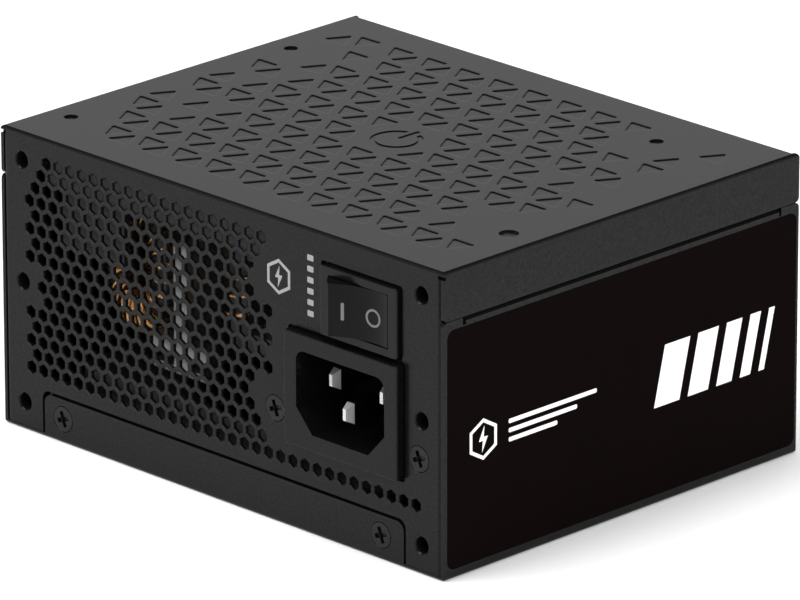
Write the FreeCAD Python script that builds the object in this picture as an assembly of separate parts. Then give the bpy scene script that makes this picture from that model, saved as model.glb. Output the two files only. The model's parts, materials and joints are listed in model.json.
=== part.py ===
import FreeCAD, Part
import math
import os

# Small-form-factor modular power supply, lying with its fan downwards.
# Millimetres. Origin: middle of the bottom face. -Y: mains inlet, +Y: output sockets, +Z: up.

Vector = FreeCAD.Vector
X_AXIS = Vector(1, 0, 0)
Y_AXIS = Vector(0, 1, 0)
Z_AXIS = Vector(0, 0, 1)

# ---- case ----
width = 125.0
depth = 100.0
height = 63.5
sheet = 0.8
bend = 0.7                       # outer radius of the folds
slip = 0.1                       # gap between sheets that slide into each other
side = width / 2
rear = -depth / 2
front = depth / 2
inner_side = side - sheet
panel_side = inner_side - slip   # half width of the rear and front panels
top_under = height - sheet
seam = 53.3                      # lower edge of the tray's side flanges
tab_low, tab_high = -50.7, 51.6  # the cover's rear tab, along X
tab_top = 9.3

# ---- fixing holes on the rear panel (three rows of two) ----
fixing_spacing_x = 113.0
fixing_spacing_z = 51.5
fixing_middle = height / 2
fixing_radius = 1.7
fixing_rim = 0.25

# ---- vent: hexagons with a corner up, rows counted from the top ----
hexagon_width = 2.42
hexagon_pitch = 3.417
hexagon_row = hexagon_pitch * math.sqrt(3) / 2
hexagon_rim = 0.14               # softened edge round each hole
vent_top = 58.33
blind_rows = 2                   # upper rows that are only pressed in, but for their first hexagon
blind_depth = 0.35
vent_start = -54.4
# first and last hexagon of each row; odd rows stand half a pitch to the right
vent_rows = [
    (1, 19), (1, 19), (0, 18), (0, 18), (0, 18), (0, 20), (0, 19), (0, 20),
    (1, 19), (1, 20), (1, 18), (0, 18), (0, 18), (0, 19), (0, 19), (0, 32),
]

# ---- debossed triangles on the top ----
triangle_side = 9.6              # of the lattice
triangle_row = 8.29
triangle_inset = 6.0             # side of one debossed triangle
triangle_corner = 0.4
triangle_depth = 0.2
triangle_slope = 0.9             # how much longer the side is at the surface, above a shallow edge
triangle_slope_depth = 0.035
pattern_front = 41.3
pattern_left = -52.9
top_pattern = [
    "##.###############....#",
    "..#.##############...#.",
    "..##################.#.",
    "##.###################.",
    "#.########...######.#..",
    "##########...##########",
    "#.#.##################.",
    "##.#################...",
    ".##################.#..",
    "..#####################",
]

# ---- mains inlet and switch ----
inlet_x, inlet_z = 35.9, 30.1
inlet_width, inlet_height = 31.3, 23.7
inlet_face = rear - 1.8
inlet_gap = 0.5
socket_width, socket_height = 24.4, 16.8
socket_floor = -36.0
pin_offset = 7.0
power_pin_z, earth_pin_z = 2.1, -2.4
power_pin_tip, earth_pin_tip = rear + 2.6, rear - 0.6
pin_half_width, pin_half_height = 1.0, 2.1
pin_tip_half_width, pin_tip_half_height = 0.4, 1.2
pin_taper = 1.8
tab_end = -24.0                  # inner end of the inlet's solder tabs
inlet_screw_x = 19.9
inlet_screw_z = 23.75
switch_x, switch_z = 40.15, 50.15
switch_width, switch_height = 21.3, 14.6
switch_face = rear - 1.0
pivot_y = switch_face + 4.5
drum_radius = 9.4
rocker_radius = 9.2
rocker_half = 5.4
rocker_tilt = 13.5               # either side of the middle position
terminal_end = -26.0

# ---- screws ----
head_radius = 2.6
head_sink = 0.12                 # heads stand this far below the sheet's face
shank_radius = 1.24
tap_radius = 1.25
cover_screw_x, cover_screw_z = 45.3, 5.1
front_screw_x, front_screw_low, front_screw_high = 56.0, 6.5, 57.0

# ---- fan ----
fan_size = 92.0
fan_thickness = 15.0
fan_floor = sheet
fan_top = fan_floor + fan_thickness
fan_hole = 41.25
duct_radius = 44.0
blade_radius = 43.2
hub_radius = 19.5
hub_low, hub_high = 2.2, 13.6
mount_radius = 20.0
mount_low = fan_floor + fan_thickness - 1.5
shaft_radius = 1.5
blade_count = 9

# ---- main board ----
board_low, board_high = 55.0, 56.6
board_side = 59.5
standoffs = [(-56.0, 24.7, 1.48), (-56.0, -36.8, 1.48), (37.6, 35.0, 1.48), (55.2, -24.75, 2.0)]

# ---- chokes ----
choke_centre = (-34.6, -35.9, 39.0)
choke_radius, choke_hole, choke_half = 15.6, 6.6, 5.0      # outside of the winding
core_radius, core_hole, core_half = 13.8, 8.4, 3.4
choke_turn = -17
line_choke_x, line_choke_y = 2.35, -36.5
line_coil_low, line_coil_high = 32.3, 46.9

# ---- output sockets ----
cell = 4.2
socket_board = 36.4
socket_face = front + 0.3
latch_half = 2.4                 # half width of the latch ramp on each socket


# ---------------------------------------------------------------- helpers

def box(x0, x1, y0, y1, z0, z1):
    low = Vector(min(x0, x1), min(y0, y1), min(z0, z1))
    return Part.makeBox(abs(x1 - x0), abs(y1 - y0), abs(z1 - z0), low)


def rod(start, axis, length, radius):
    return Part.makeCylinder(radius, length, Vector(*start), axis)


def tube(start, axis, length, outer, inner):
    return rod(start, axis, length, outer).cut(rod(start, axis, length, inner))


def rounded_wire(corners, radii):
    """Closed outline through the corners, each rounded by its own radius (0 keeps it sharp)."""
    count = len(corners)
    arcs = []
    for i in range(count):
        corner = corners[i]
        back = (corners[i - 1] - corner).normalize()
        ahead = (corners[(i + 1) % count] - corner).normalize()
        if radii[i] == 0:
            arcs.append((corner, corner, corner))
            continue
        half = back.getAngle(ahead) / 2
        reach = radii[i] / math.tan(half)
        middle = (back + ahead).normalize() * (radii[i] / math.sin(half) - radii[i])
        arcs.append((corner + back * reach, corner + middle, corner + ahead * reach))
    edges = []
    for i in range(count):
        start, middle, end = arcs[i]
        if radii[i] > 0:
            edges.append(Part.Arc(start, middle, end).toShape())
        edges.append(Part.makeLine(end, arcs[(i + 1) % count][0]))
    return Part.Wire(edges)


def prism(corners, push, radius=0.0):
    radii = radius if isinstance(radius, list) else [radius] * len(corners)
    return Part.Face(rounded_wire(corners, radii)).extrude(push)


def rect_xz(x0, x1, y0, y1, z0, z1, radius):
    """Block along Y whose four long edges are rounded."""
    corners = [Vector(x0, y0, z0), Vector(x1, y0, z0), Vector(x1, y0, z1), Vector(x0, y0, z1)]
    return prism(corners, Vector(0, y1 - y0, 0), radius)


def rect_xy(x0, x1, y0, y1, z0, z1, radius):
    """Block along Z whose four upright edges are rounded."""
    corners = [Vector(x0, y0, z0), Vector(x1, y0, z0), Vector(x1, y1, z0), Vector(x0, y1, z0)]
    return prism(corners, Vector(0, 0, z1 - z0), radius)


def join(shapes):
    return shapes[0].multiFuse(shapes[1:]).removeSplitter()


def edges_in_plane(shape, axis, value):
    """Edges that lie in the plane where the X, Y or Z coordinate has this value."""
    found = []
    for edge in shape.Edges:
        bounds = edge.BoundBox
        low = {"x": bounds.XMin, "y": bounds.YMin, "z": bounds.ZMin}[axis]
        high = {"x": bounds.XMax, "y": bounds.YMax, "z": bounds.ZMax}[axis]
        if abs(low - value) < 1e-4 and abs(high - value) < 1e-4:
            found.append(edge)
    return found


def stand(shape, position, direction):
    """Turn a shape made pointing along -Z from the origin so that it points along direction."""
    moved = shape.copy()
    moved.Placement = FreeCAD.Placement(Vector(*position), FreeCAD.Rotation(Z_AXIS * -1, direction))
    return moved


def cross_recess(size, deep):
    arm = 0.95
    arms = Part.makeBox(size, arm, deep, Vector(-size / 2, -arm / 2, -deep))
    arms = arms.fuse(Part.makeBox(arm, size, deep, Vector(-arm / 2, -size / 2, -deep)))
    arms.rotate(Vector(0, 0, 0), Z_AXIS, 20)
    return arms


def flat_screw(position, direction, length):
    """Countersunk cross-head screw, its head's face just below position."""
    cone_height = head_radius - shank_radius
    cone = Part.makeCone(shank_radius, head_radius, cone_height, Vector(0, 0, -cone_height))
    shank = rod((0, 0, -length), Z_AXIS, length - cone_height, shank_radius)
    screw = cone.fuse(shank).cut(cross_recess(3.4, 1.1))
    screw.translate(Vector(0, 0, -head_sink))
    return stand(screw, position, direction)


def flat_screw_hole(position, direction, length):
    """Countersink and tapped hole for flat_screw."""
    rim = head_radius + head_sink + 0.06
    cone_height = rim - tap_radius
    cone = Part.makeCone(tap_radius, rim, cone_height, Vector(0, 0, -cone_height))
    hole = rod((0, 0, -length), Z_AXIS, length - cone_height, tap_radius)
    return stand(cone.fuse(hole), position, direction)


def pan_screw(position, direction, length):
    """Pan-head cross screw, the underside of its head at position."""
    head = rod((0, 0, 0), Z_AXIS, 1.9, 2.8)
    head = head.makeFillet(0.8, edges_in_plane(head, "z", 1.9))
    recess = cross_recess(3.0, 1.1)
    recess.translate(Vector(0, 0, 1.9))
    screw = head.cut(recess).fuse(rod((0, 0, -length), Z_AXIS, length, shank_radius))
    return stand(screw, position, direction)


def wire_run(points, radius):
    """Round wire along straight runs that are joined by tangent arcs, as large as the runs allow."""
    places = [Vector(*point) for point in points]
    cursor = places[0]
    edges = []
    radii = []
    for i in range(1, len(places) - 1):
        back = places[i - 1] - places[i]
        ahead = places[i + 1] - places[i]
        shorter = min(back.Length, ahead.Length)
        half = back.getAngle(ahead) / 2
        turn = math.pi / 2 - half
        arc_radius = 0.45 * shorter / math.tan(turn)
        reach = 0.45 * shorter
        back.normalize()
        ahead.normalize()
        middle = (back + ahead).normalize() * (arc_radius / math.sin(half) - arc_radius)
        start = places[i] + back * reach
        end = places[i] + ahead * reach
        edges.append(Part.makeLine(cursor, start))
        edges.append(Part.Arc(start, places[i] + middle, end).toShape())
        cursor = end
        radii.append(round(arc_radius, 1))
    edges.append(Part.makeLine(cursor, places[-1]))
    path = Part.Wire(edges)
    profile = Part.Wire(Part.makeCircle(radius, places[0], places[1] - places[0]))
    solid = path.makePipeShell([profile], True, True)
    print("wire length", round(path.Length, 1), "bend radii", radii,
          "volume ratio", round(solid.Volume / (math.pi * radius ** 2 * path.Length), 3))
    return solid


def frustum(wide, narrow):
    """Solid between two closed outlines that have the same number of corners."""
    outlines = [Part.makePolygon(corners + corners[:1]) for corners in (wide, narrow)]
    return Part.makeLoft(outlines, True, True)


def hexagon_corners(x, y, z, across):
    """Corners of an upright hexagon with one corner on top."""
    reach = across / math.sqrt(3)
    angles = [math.radians(90 + 60 * i) for i in range(6)]
    return [Vector(x + reach * math.cos(angle), y, z + reach * math.sin(angle)) for angle in angles]


def hexagon(x, z, across, deep):
    """Hexagon cut into the rear panel, and its softened outer edge."""
    hole = prism(hexagon_corners(x, rear - 1, z, across), Vector(0, 1 + deep, 0))
    rim = frustum(hexagon_corners(x, rear, z, across + 2 * hexagon_rim),
                  hexagon_corners(x, rear + hexagon_rim, z, across))
    return [hole, rim]


def triangle_outline(x, y, z, points_up, side_length):
    reach = side_length / math.sqrt(3)
    turn = 90 if points_up else 270
    angles = [math.radians(turn + 120 * i) for i in range(3)]
    return [Vector(x + reach * math.cos(angle), y + reach * math.sin(angle), z) for angle in angles]


def triangle(x, y, points_up, side_length, low, high):
    """Upright triangular prism about its centre (x, y), with rounded corners."""
    corners = triangle_outline(x, y, low, points_up, side_length)
    return prism(corners, Vector(0, 0, high - low), triangle_corner)


def lattice_centre(row, column, side_length, row_height, left, start):
    """Centre of one lattice triangle, and whether it points towards +Y."""
    points_up = (row + column) % 2 == 0
    third = row_height * (2 / 3 if points_up else 1 / 3)
    return left + column * side_length / 2, start - row * row_height - third, points_up


def save(name, *solids):
    shape = solids[0] if len(solids) == 1 else Part.Compound(list(solids))
    if not shape.isValid():
        print("not valid:", name)
    shape.exportStep(os.path.join("parts", name + ".step"))


# ---------------------------------------------------------------- case

def folded_outline():
    """The outside of the whole case, with its long edges rounded as sheet folds."""
    block = box(-side, side, rear, front, 0, height)
    edges = []
    for level in (0, height):
        for edge in edges_in_plane(block, "z", level):
            if not (edge.BoundBox.YMin > front - 1):
                edges.append(edge)
    return block.makeFillet(bend, edges)


def vent_holes():
    holes = []
    for row, (first, last) in enumerate(vent_rows):
        shift = hexagon_pitch / 2 if row % 2 == 0 else 0
        z = vent_top - row * hexagon_row
        for column in range(first, last + 1):
            blind = row < blind_rows and column > first
            holes += hexagon(vent_start + shift + column * hexagon_pitch, z, hexagon_width,
                             blind_depth if blind else 2 * sheet)
    return holes


def fixing_places():
    places = []
    for x in (-fixing_spacing_x / 2, fixing_spacing_x / 2):
        for z in (-fixing_spacing_z / 2, 0, fixing_spacing_z / 2):
            places.append((x, fixing_middle + z))
    return places


def top_triangles():
    cuts = []
    for row, line in enumerate(top_pattern):
        for column, mark in enumerate(line):
            if mark != "#":
                continue
            x, y, points_up = lattice_centre(
                row, column, triangle_side, triangle_row, pattern_left, pattern_front)
            cuts.append(triangle(x, y, points_up, triangle_inset, height - triangle_depth, height + 1))
            edge = height - triangle_slope_depth
            outer = rounded_wire(triangle_outline(x, y, height, points_up, triangle_inset + triangle_slope),
                                 [triangle_corner + 0.3] * 3)
            inner = rounded_wire(triangle_outline(x, y, edge, points_up, triangle_inset),
                                 [triangle_corner] * 3)
            cuts.append(Part.makeLoft([outer, inner], True, True))
    return cuts


def corner_reliefs():
    """Small notches where the folds of the top, the rear and the sides meet."""
    return [box(way * (panel_side - 0.6), way * (side + 1), rear - 1, rear + 0.7, top_under - 0.8, top_under)
            for way in (-1, 1)]


def fixing_rims():
    return [Part.makeCone(fixing_radius + fixing_rim, fixing_radius, fixing_rim, Vector(x, rear, z), Y_AXIS)
            for x, z in fixing_places()]


def power_mark():
    """Plain on/off symbol, debossed in the middle of the top."""
    low = height - triangle_depth
    ring = tube((0, -0.5, low), Z_AXIS, 1, 5.4, 4.3).cut(box(-1.6, 1.6, 0, 6, low, low + 1))
    return [ring, rect_xy(-0.55, 0.55, 0.2, 5.9, low, low + 1, 0.3)]


def cover_screw_places():
    return [(x, rear, cover_screw_z) for x in (-cover_screw_x, cover_screw_x)]


def front_screw_places():
    return [(x, front, z) for x in (-front_screw_x, front_screw_x)
            for z in (front_screw_low, front_screw_high)]


def inlet_screw_places():
    return [(inlet_x + x, rear, inlet_screw_z) for x in (-inlet_screw_x, inlet_screw_x)]


def fan_screw_places():
    return [(x, y, 0) for x in (-fan_hole, fan_hole) for y in (-fan_hole, fan_hole)]


def top_sheet():
    """Top, whose front edge is rounded down over the front panel."""
    flat = box(-side, side, rear, front - sheet, top_under, height)
    return flat.makeFillet(bend, [edge for edge in edges_in_plane(flat, "z", height)
                                  if edge.BoundBox.YMin > front - 2 * sheet])


def rear_panel():
    """Upright panel whose two outer edges are rounded where they fold forwards."""
    low = sheet + slip
    corners = [Vector(-panel_side, rear, low), Vector(panel_side, rear, low),
               Vector(panel_side, rear + sheet, low), Vector(-panel_side, rear + sheet, low)]
    return prism(corners, Vector(0, 0, height - low), [bend, bend, 0, 0])


def chassis_tray():
    outline = folded_outline()
    walls = [
        top_sheet(),
        rear_panel(),
    ]
    for way in (-1, 1):
        flange = [Vector(way * inner_side, rear + 0.05, seam), Vector(way * inner_side, front, seam),
                  Vector(way * inner_side, front, height), Vector(way * inner_side, rear + 0.05, height)]
        walls.append(prism(flange, Vector(way * sheet, 0, 0), [1.0, 1.0, 1.0, 0]))
        walls.append(box(way * panel_side, way * (panel_side - sheet), rear + sheet - slip, rear + 5.5,
                         5.2, seam - 0.6))
        walls.append(box(way * 40, way * 50, rear + sheet, rear + 2 * sheet, 1.5, 13))
        walls.append(box(way * 51.5, way * side, front - 1.7, front - 0.9, seam + 0.7, height - 1.4))
    body = join(walls).common(outline)
    for x, z in fixing_places():
        body = body.fuse(rod((x, rear + sheet, z), Y_AXIS, 1.6, fixing_radius + 0.7))
    cuts = [rect_xz(tab_low - 0.6, tab_high + 0.6, rear - 1, rear + sheet, -3, tab_top + 0.7, 2.0)]
    cuts += [rod((x, rear - 1, z), Y_AXIS, 5, fixing_radius) for x, z in fixing_places()]
    cuts += [rod((x, y, top_under - 1), Z_AXIS, 5, radius) for x, y, radius in standoffs]
    cuts += [flat_screw_hole(place, Y_AXIS, 6) for place in cover_screw_places()]
    cuts += [flat_screw_hole(place, Y_AXIS, 2) for place in inlet_screw_places()]
    cuts += [flat_screw_hole(place, Y_AXIS * -1, 6) for place in front_screw_places()]
    for x, z, wide, high in ((inlet_x, inlet_z, inlet_width, inlet_height),
                             (switch_x, switch_z, switch_width, switch_height)):
        reach_x = wide / 2 + inlet_gap
        reach_z = high / 2 + inlet_gap
        cuts.append(rect_xz(x - reach_x, x + reach_x, rear - 1, rear + 1, z - reach_z, z + reach_z, 0.8))
    body = body.cut(cuts + fixing_rims() + corner_reliefs() + power_mark())
    body = body.cut(top_triangles())
    return body.cut(vent_holes())


def grille_holes():
    """Triangles inside the fan's circle, on a finer lattice than the top's."""
    side_length = 8.4
    row_height = side_length * math.sqrt(3) / 2
    rows = 12
    columns = 41
    holes = []
    for row in range(rows):
        for column in range(columns):
            x, y, points_up = lattice_centre(row, column, side_length, row_height,
                                             -side_length * (columns - 1) / 4, row_height * rows / 2)
            if math.hypot(x, y) < duct_radius - 2.6:
                holes.append(triangle(x, y, points_up, 6.2, -1, sheet + 1))
    return holes


def side_tongue(way):
    """Tongue that steps inwards above the cover's side and tucks behind the tray's flange."""
    outer = way * (inner_side - slip)
    inner = way * (inner_side - slip - sheet)
    start = -43.9
    corners = [Vector(way * side, start, 51.6), Vector(way * side, start, 52.4), Vector(outer, start, 53.2),
               Vector(outer, start, 58.2), Vector(inner, start, 58.2), Vector(inner, start, 52.8),
               Vector(way * inner_side, start, 51.9), Vector(way * inner_side, start, 51.6)]
    return prism(corners, Vector(0, 88.2, 0))


def fan_cover():
    outline = folded_outline()
    walls = [box(-side, side, rear, front - 0.9, 0, sheet)]
    for way in (-1, 1):
        side_wall = [Vector(way * inner_side, rear, 0), Vector(way * inner_side, front, 0),
                     Vector(way * inner_side, front, seam - 0.15), Vector(way * inner_side, rear, seam - 0.15)]
        panel = prism(side_wall, Vector(way * sheet, 0, 0), [0, 0, 1.0, 1.0])
        panel = panel.cut(box(way * (inner_side - 1), way * (side + 1), -44.7, 44.9, 51.6, seam + 1))
        walls.append(panel)
        walls.append(side_tongue(way))
        walls.append(box(way * 51.0, way * side, front - 1.7, front - 0.9, 0, 12))
    walls.append(rect_xz(tab_low, tab_high, rear, rear + sheet, -3, tab_top, 2.0))
    body = join(walls).common(outline)
    cuts = [flat_screw_hole(place, Y_AXIS, 6) for place in cover_screw_places()]
    cuts += [flat_screw_hole(place, Y_AXIS * -1, 6) for place in front_screw_places()]
    cuts += [flat_screw_hole(place, Z_AXIS, 6) for place in fan_screw_places()]
    return body.cut(cuts).cut(grille_holes())


def socket_layout():
    """Centre x and z, columns of pins and the kind of each output socket."""
    upper, lower = 44.5, 27.5
    return [
        (-27.0, upper, 9, "motherboard"), (4.2, upper, 5, "motherboard"),
        (28.4, upper, 4, "power"), (50.0, upper, 4, "power"),
        (-48.6, lower, 4, "power"), (-25.8, lower, 4, "power"),
        (-3.6, lower, 3, "peripheral"), (16.0, lower, 3, "peripheral"), (35.6, lower, 3, "peripheral"),
    ]


def socket_size(columns):
    return columns * cell + 1.4, 2 * cell + 1.4


def modular_panel():
    panel = box(-panel_side, panel_side, front - sheet, front, sheet + slip, top_under - slip)
    cuts = [flat_screw_hole(place, Y_AXIS * -1, 6) for place in front_screw_places()]
    for x, z, columns, _ in socket_layout():
        wide, high = socket_size(columns)
        cuts.append(rect_xz(x - wide / 2 - 0.3, x + wide / 2 + 0.3, front - 2, front + 1,
                            z - high / 2 - 0.3, z + high / 2 + 0.3, 0.5))
        cuts.append(box(x - latch_half - 0.3, x + latch_half + 0.3, front - 2, front + 1,
                        z, z + high / 2 + 1.7))
    return panel.cut(cuts)


def insulation_sheet():
    film = box(-60, 60, -47, 46.5, 62.3, top_under)
    return film.cut([rod((x, y, 60), Z_AXIS, 4, 3.3) for x, y, _ in standoffs])


def side_label(way, thickness=0.12):
    corners = [Vector(way * side, -48.9, 2.0), Vector(way * side, 49.3, 2.0),
               Vector(way * side, 49.3, 51.3), Vector(way * side, -48.9, 51.3)]
    return prism(corners, Vector(way * thickness, 0, 0), 1.8)


def make_case():
    save("chassis_tray", chassis_tray())
    save("fan_cover", fan_cover())
    save("modular_panel", modular_panel())
    save("insulation_sheet", insulation_sheet())
    save("label_right", side_label(1))
    save("label_left", side_label(-1))
    save("rear_cover_screws", *[flat_screw(place, Y_AXIS, 5) for place in cover_screw_places()])
    save("front_panel_screws", *[flat_screw(place, Y_AXIS * -1, 5) for place in front_screw_places()])
    save("inlet_screws", *[flat_screw(place, Y_AXIS, 5) for place in inlet_screw_places()])
    save("fan_screws", *[flat_screw(place, Z_AXIS, 6) for place in fan_screw_places()])


# ---------------------------------------------------------------- mains inlet and switch

def socket_outline(y):
    """Outline of the inlet's opening: two corners cut off below, two rounded above."""
    half = socket_width / 2
    low = inlet_z - socket_height / 2
    high = inlet_z + socket_height / 2
    cut_x, cut_z = 4.5, 4.9
    return [Vector(inlet_x - half, y, low + cut_z), Vector(inlet_x - half + cut_x, y, low),
            Vector(inlet_x + half - cut_x, y, low), Vector(inlet_x + half, y, low + cut_z),
            Vector(inlet_x + half, y, high), Vector(inlet_x - half, y, high)]


def pin_places():
    """Centre and tip of the line, neutral and earth pins."""
    return [
        (inlet_x - pin_offset, inlet_z + power_pin_z, power_pin_tip),
        (inlet_x + pin_offset, inlet_z + power_pin_z, power_pin_tip),
        (inlet_x, inlet_z + earth_pin_z, earth_pin_tip),
    ]


def inlet_housing():
    half_x = inlet_width / 2
    half_z = inlet_height / 2
    nose = rect_xz(inlet_x - half_x, inlet_x + half_x, inlet_face, rear + sheet,
                   inlet_z - half_z, inlet_z + half_z, 0.6)
    nose = nose.makeFillet(0.3, edges_in_plane(nose, "y", inlet_face))
    flange_back = rear + sheet + 2.4
    body = join([
        nose,
        rect_xz(inlet_x - 17, inlet_x + 17, rear + sheet, flange_back, 17.2, 42.6, 1.0),
        rect_xz(inlet_x - 23.4, inlet_x + 23.4, rear + sheet, flange_back, 19.4, 28.1, 4.0),
        rect_xz(inlet_x - half_x + 0.6, inlet_x + half_x - 0.6, flange_back, -31.5,
                inlet_z - half_z + 0.6, inlet_z + half_z - 0.6, 1.2),
    ])
    radii = [0.0, 0.0, 0.0, 0.0, 2.2, 2.2]
    cavity = prism(socket_outline(inlet_face - 1), Vector(0, socket_floor - inlet_face + 1, 0), radii)
    slots = [box(x - pin_half_width, x + pin_half_width, socket_floor - 1, -30,
                 z - pin_half_height, z + pin_half_height) for x, z, _ in pin_places()]
    holes = [flat_screw_hole(place, Y_AXIS, 6) for place in inlet_screw_places()]
    return body.cut([cavity] + slots + holes)


def pin_outline(x, y, z, half_x, half_z):
    return [Vector(x - half_x, y, z - half_z), Vector(x + half_x, y, z - half_z),
            Vector(x + half_x, y, z + half_z), Vector(x - half_x, y, z + half_z)]


def inlet_pin(x, z, tip):
    """Flat blade with a bevelled tip, which passes through the housing and ends in a solder tab."""
    shoulder = tip + pin_taper
    blade = box(x - pin_half_width, x + pin_half_width, shoulder, tab_end,
                z - pin_half_height, z + pin_half_height)
    nose = frustum(pin_outline(x, shoulder, z, pin_half_width, pin_half_height),
                   pin_outline(x, tip, z, pin_tip_half_width, pin_tip_half_height))
    return blade.fuse(nose)


def terminal_places():
    return [switch_x - 4.3, switch_x + 4.3]


def switch_housing():
    half_x = switch_width / 2
    half_z = switch_height / 2
    body = rect_xz(switch_x - half_x, switch_x + half_x, switch_face, -34,
                   switch_z - half_z, switch_z + half_z, 0.8)
    body = body.makeFillet(0.3, edges_in_plane(body, "y", switch_face))
    flange = box(switch_x - half_x - 1.6, switch_x + half_x + 1.6, rear + sheet, rear + sheet + 1.6,
                 switch_z - half_z, switch_z + half_z + 1.6)
    body = join([body, flange])
    drum = rod((switch_x, pivot_y, switch_z - rocker_half - 0.2), Z_AXIS, 2 * rocker_half + 0.4, drum_radius)
    bearing = rod((switch_x, pivot_y, switch_z - 6.5), Z_AXIS, 13, tap_radius)
    slots = [box(x - 0.4, x + 0.4, pivot_y + drum_radius - 1, -33, switch_z - 3.15, switch_z + 3.15)
             for x in terminal_places()]
    return body.cut([drum, bearing] + slots)


def switch_rocker():
    """Rocker with a hollow face, tilted so that its +X half is pressed in."""
    tip = math.radians(47.6)
    skirt = math.radians(76)
    dish = 1.4

    def at(angle, radius=rocker_radius):
        return Vector(radius * math.sin(angle), -radius * math.cos(angle), -rocker_half)

    bottom_left = Vector(-3, 2.6, -rocker_half)
    bottom_right = Vector(3, 2.6, -rocker_half)
    face_middle = Vector(0, -rocker_radius * math.cos(tip) + dish, -rocker_half)
    half_way = (tip + skirt) / 2
    edges = [
        Part.Arc(at(-tip), face_middle, at(tip)).toShape(),
        Part.Arc(at(tip), at(half_way), at(skirt)).toShape(),
        Part.makeLine(at(skirt), bottom_right),
        Part.makeLine(bottom_right, bottom_left),
        Part.makeLine(bottom_left, at(-skirt)),
        Part.Arc(at(-skirt), at(-half_way), at(-tip)).toShape(),
    ]
    body = Part.Face(Part.Wire(edges)).extrude(Vector(0, 0, 2 * rocker_half))
    tips = []
    for edge in body.Edges:
        bounds = edge.BoundBox
        if bounds.ZLength > rocker_half and bounds.YMax < -5:
            tips.append(edge)
    body = body.makeFillet(0.35, tips)
    body = body.fuse(rod((0, 0, -6.35), Z_AXIS, 12.7, 1.2))
    body.rotate(Vector(0, 0, 0), Z_AXIS, rocker_tilt)
    body.translate(Vector(switch_x, pivot_y, switch_z))
    return body


def make_inlet_and_switch():
    save("inlet_housing", inlet_housing())
    pins = [inlet_pin(*place) for place in pin_places()]
    save("power_pins", *pins[:2])
    save("earth_pin", pins[2])
    save("switch_housing", switch_housing())
    save("switch_rocker", switch_rocker())
    blades = [box(x - 0.4, x + 0.4, pivot_y + drum_radius + 0.3, terminal_end,
                  switch_z - 3.15, switch_z + 3.15)
              for x in terminal_places()]
    save("switch_terminals", *blades)


# ---------------------------------------------------------------- fan

def fan_frame():
    half = fan_size / 2
    body = rect_xy(-half, half, -half, half, fan_floor, fan_top, 5)
    body = body.cut(rod((0, 0, 0), Z_AXIS, 20, duct_radius))
    cuts = [rod((x, y, 3.9), Z_AXIS, 20, 2.2) for x, y, _ in fan_screw_places()]
    cuts += [flat_screw_hole(place, Z_AXIS, 6) for place in fan_screw_places()]
    return body.cut(cuts)


def fan_mount():
    """Plate that carries the motor, four struts out to the duct and the bearing tube."""
    parts = [rod((0, 0, mount_low), Z_AXIS, fan_top - mount_low, mount_radius),
             rod((0, 0, 4.8), Z_AXIS, fan_top - 4.8, 4.2)]
    for i in range(4):
        strut = box(mount_radius - 2, duct_radius + 1, -1.6, 1.6, fan_top - 1.9, fan_top)
        strut.rotate(Vector(0, 0, 0), Z_AXIS, 20 + 90 * i)
        parts.append(strut)
    body = join(parts).common(rod((0, 0, 0), Z_AXIS, 20, duct_radius))
    return body.cut(rod((0, 0, 4), Z_AXIS, mount_low - 3.5, 3.05))


def blade_section(radius, pitch, chord, sweep):
    """Thin cambered plate, square to the radius, at the given pitch and sweep angle."""
    half = chord / 2
    camber = 0.11 * chord
    thick = 0.6
    tilt = math.radians(pitch)
    turn = math.radians(sweep)
    middle = (hub_low + hub_high) / 2

    def place(along, across):
        tangent = along * math.cos(tilt) - across * math.sin(tilt)
        level = along * math.sin(tilt) + across * math.cos(tilt)
        x = radius * math.cos(turn) - tangent * math.sin(turn)
        y = radius * math.sin(turn) + tangent * math.cos(turn)
        return Vector(x, y, middle + level - camber / 2)

    start, top, end = place(-half, 0.3), place(0, camber + thick), place(half, 0.3)
    end_low, bottom, start_low = place(half, -0.3), place(0, camber - thick), place(-half, -0.3)
    return Part.Wire([
        Part.Arc(start, top, end).toShape(), Part.makeLine(end, end_low),
        Part.Arc(end_low, bottom, start_low).toShape(), Part.makeLine(start_low, start),
    ])


def fan_rotor():
    sections = [blade_section(12, 50, 10.5, -4), blade_section(20, 46, 12, 0),
                blade_section(32, 36, 15.5, 7), blade_section(45.5, 28, 18, 17)]
    blade = Part.makeLoft(sections, True, False)
    blade = blade.common(rod((0, 0, 0), Z_AXIS, 20, blade_radius))
    hub = rod((0, 0, hub_low), Z_AXIS, hub_high - hub_low, hub_radius)
    hub = hub.makeFillet(1.2, edges_in_plane(hub, "z", hub_low))
    blades = []
    for i in range(blade_count):
        turned = blade.copy()
        turned.rotate(Vector(0, 0, 0), Z_AXIS, 360 / blade_count * i)
        blades.append(turned)
    body = hub.multiFuse(blades)
    cavity = rod((0, 0, hub_low + 1.5), Z_AXIS, 20, hub_radius - 1.5)
    return body.cut([cavity, rod((0, 0, hub_low + 0.9), Z_AXIS, 3, shaft_radius)])


def fan_stator():
    """Four-pole core of steel sheets round the bearing tube."""
    core = tube((0, 0, 6.8), Z_AXIS, 4.4, 7.0, 4.2)
    parts = [core]
    for i in range(4):
        pole = box(6.5, 15.6, -2.2, 2.2, 6.8, 11.2)
        shoe = tube((0, 0, 6.8), Z_AXIS, 4.4, 15.6, 13.8).common(box(10, 16, -8, 8, 6.8, 11.2))
        pole = pole.common(rod((0, 0, 6.8), Z_AXIS, 4.4, 15.6)).fuse(shoe)
        pole.rotate(Vector(0, 0, 0), Z_AXIS, 90 * i)
        parts.append(pole)
    return join(parts)


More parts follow.
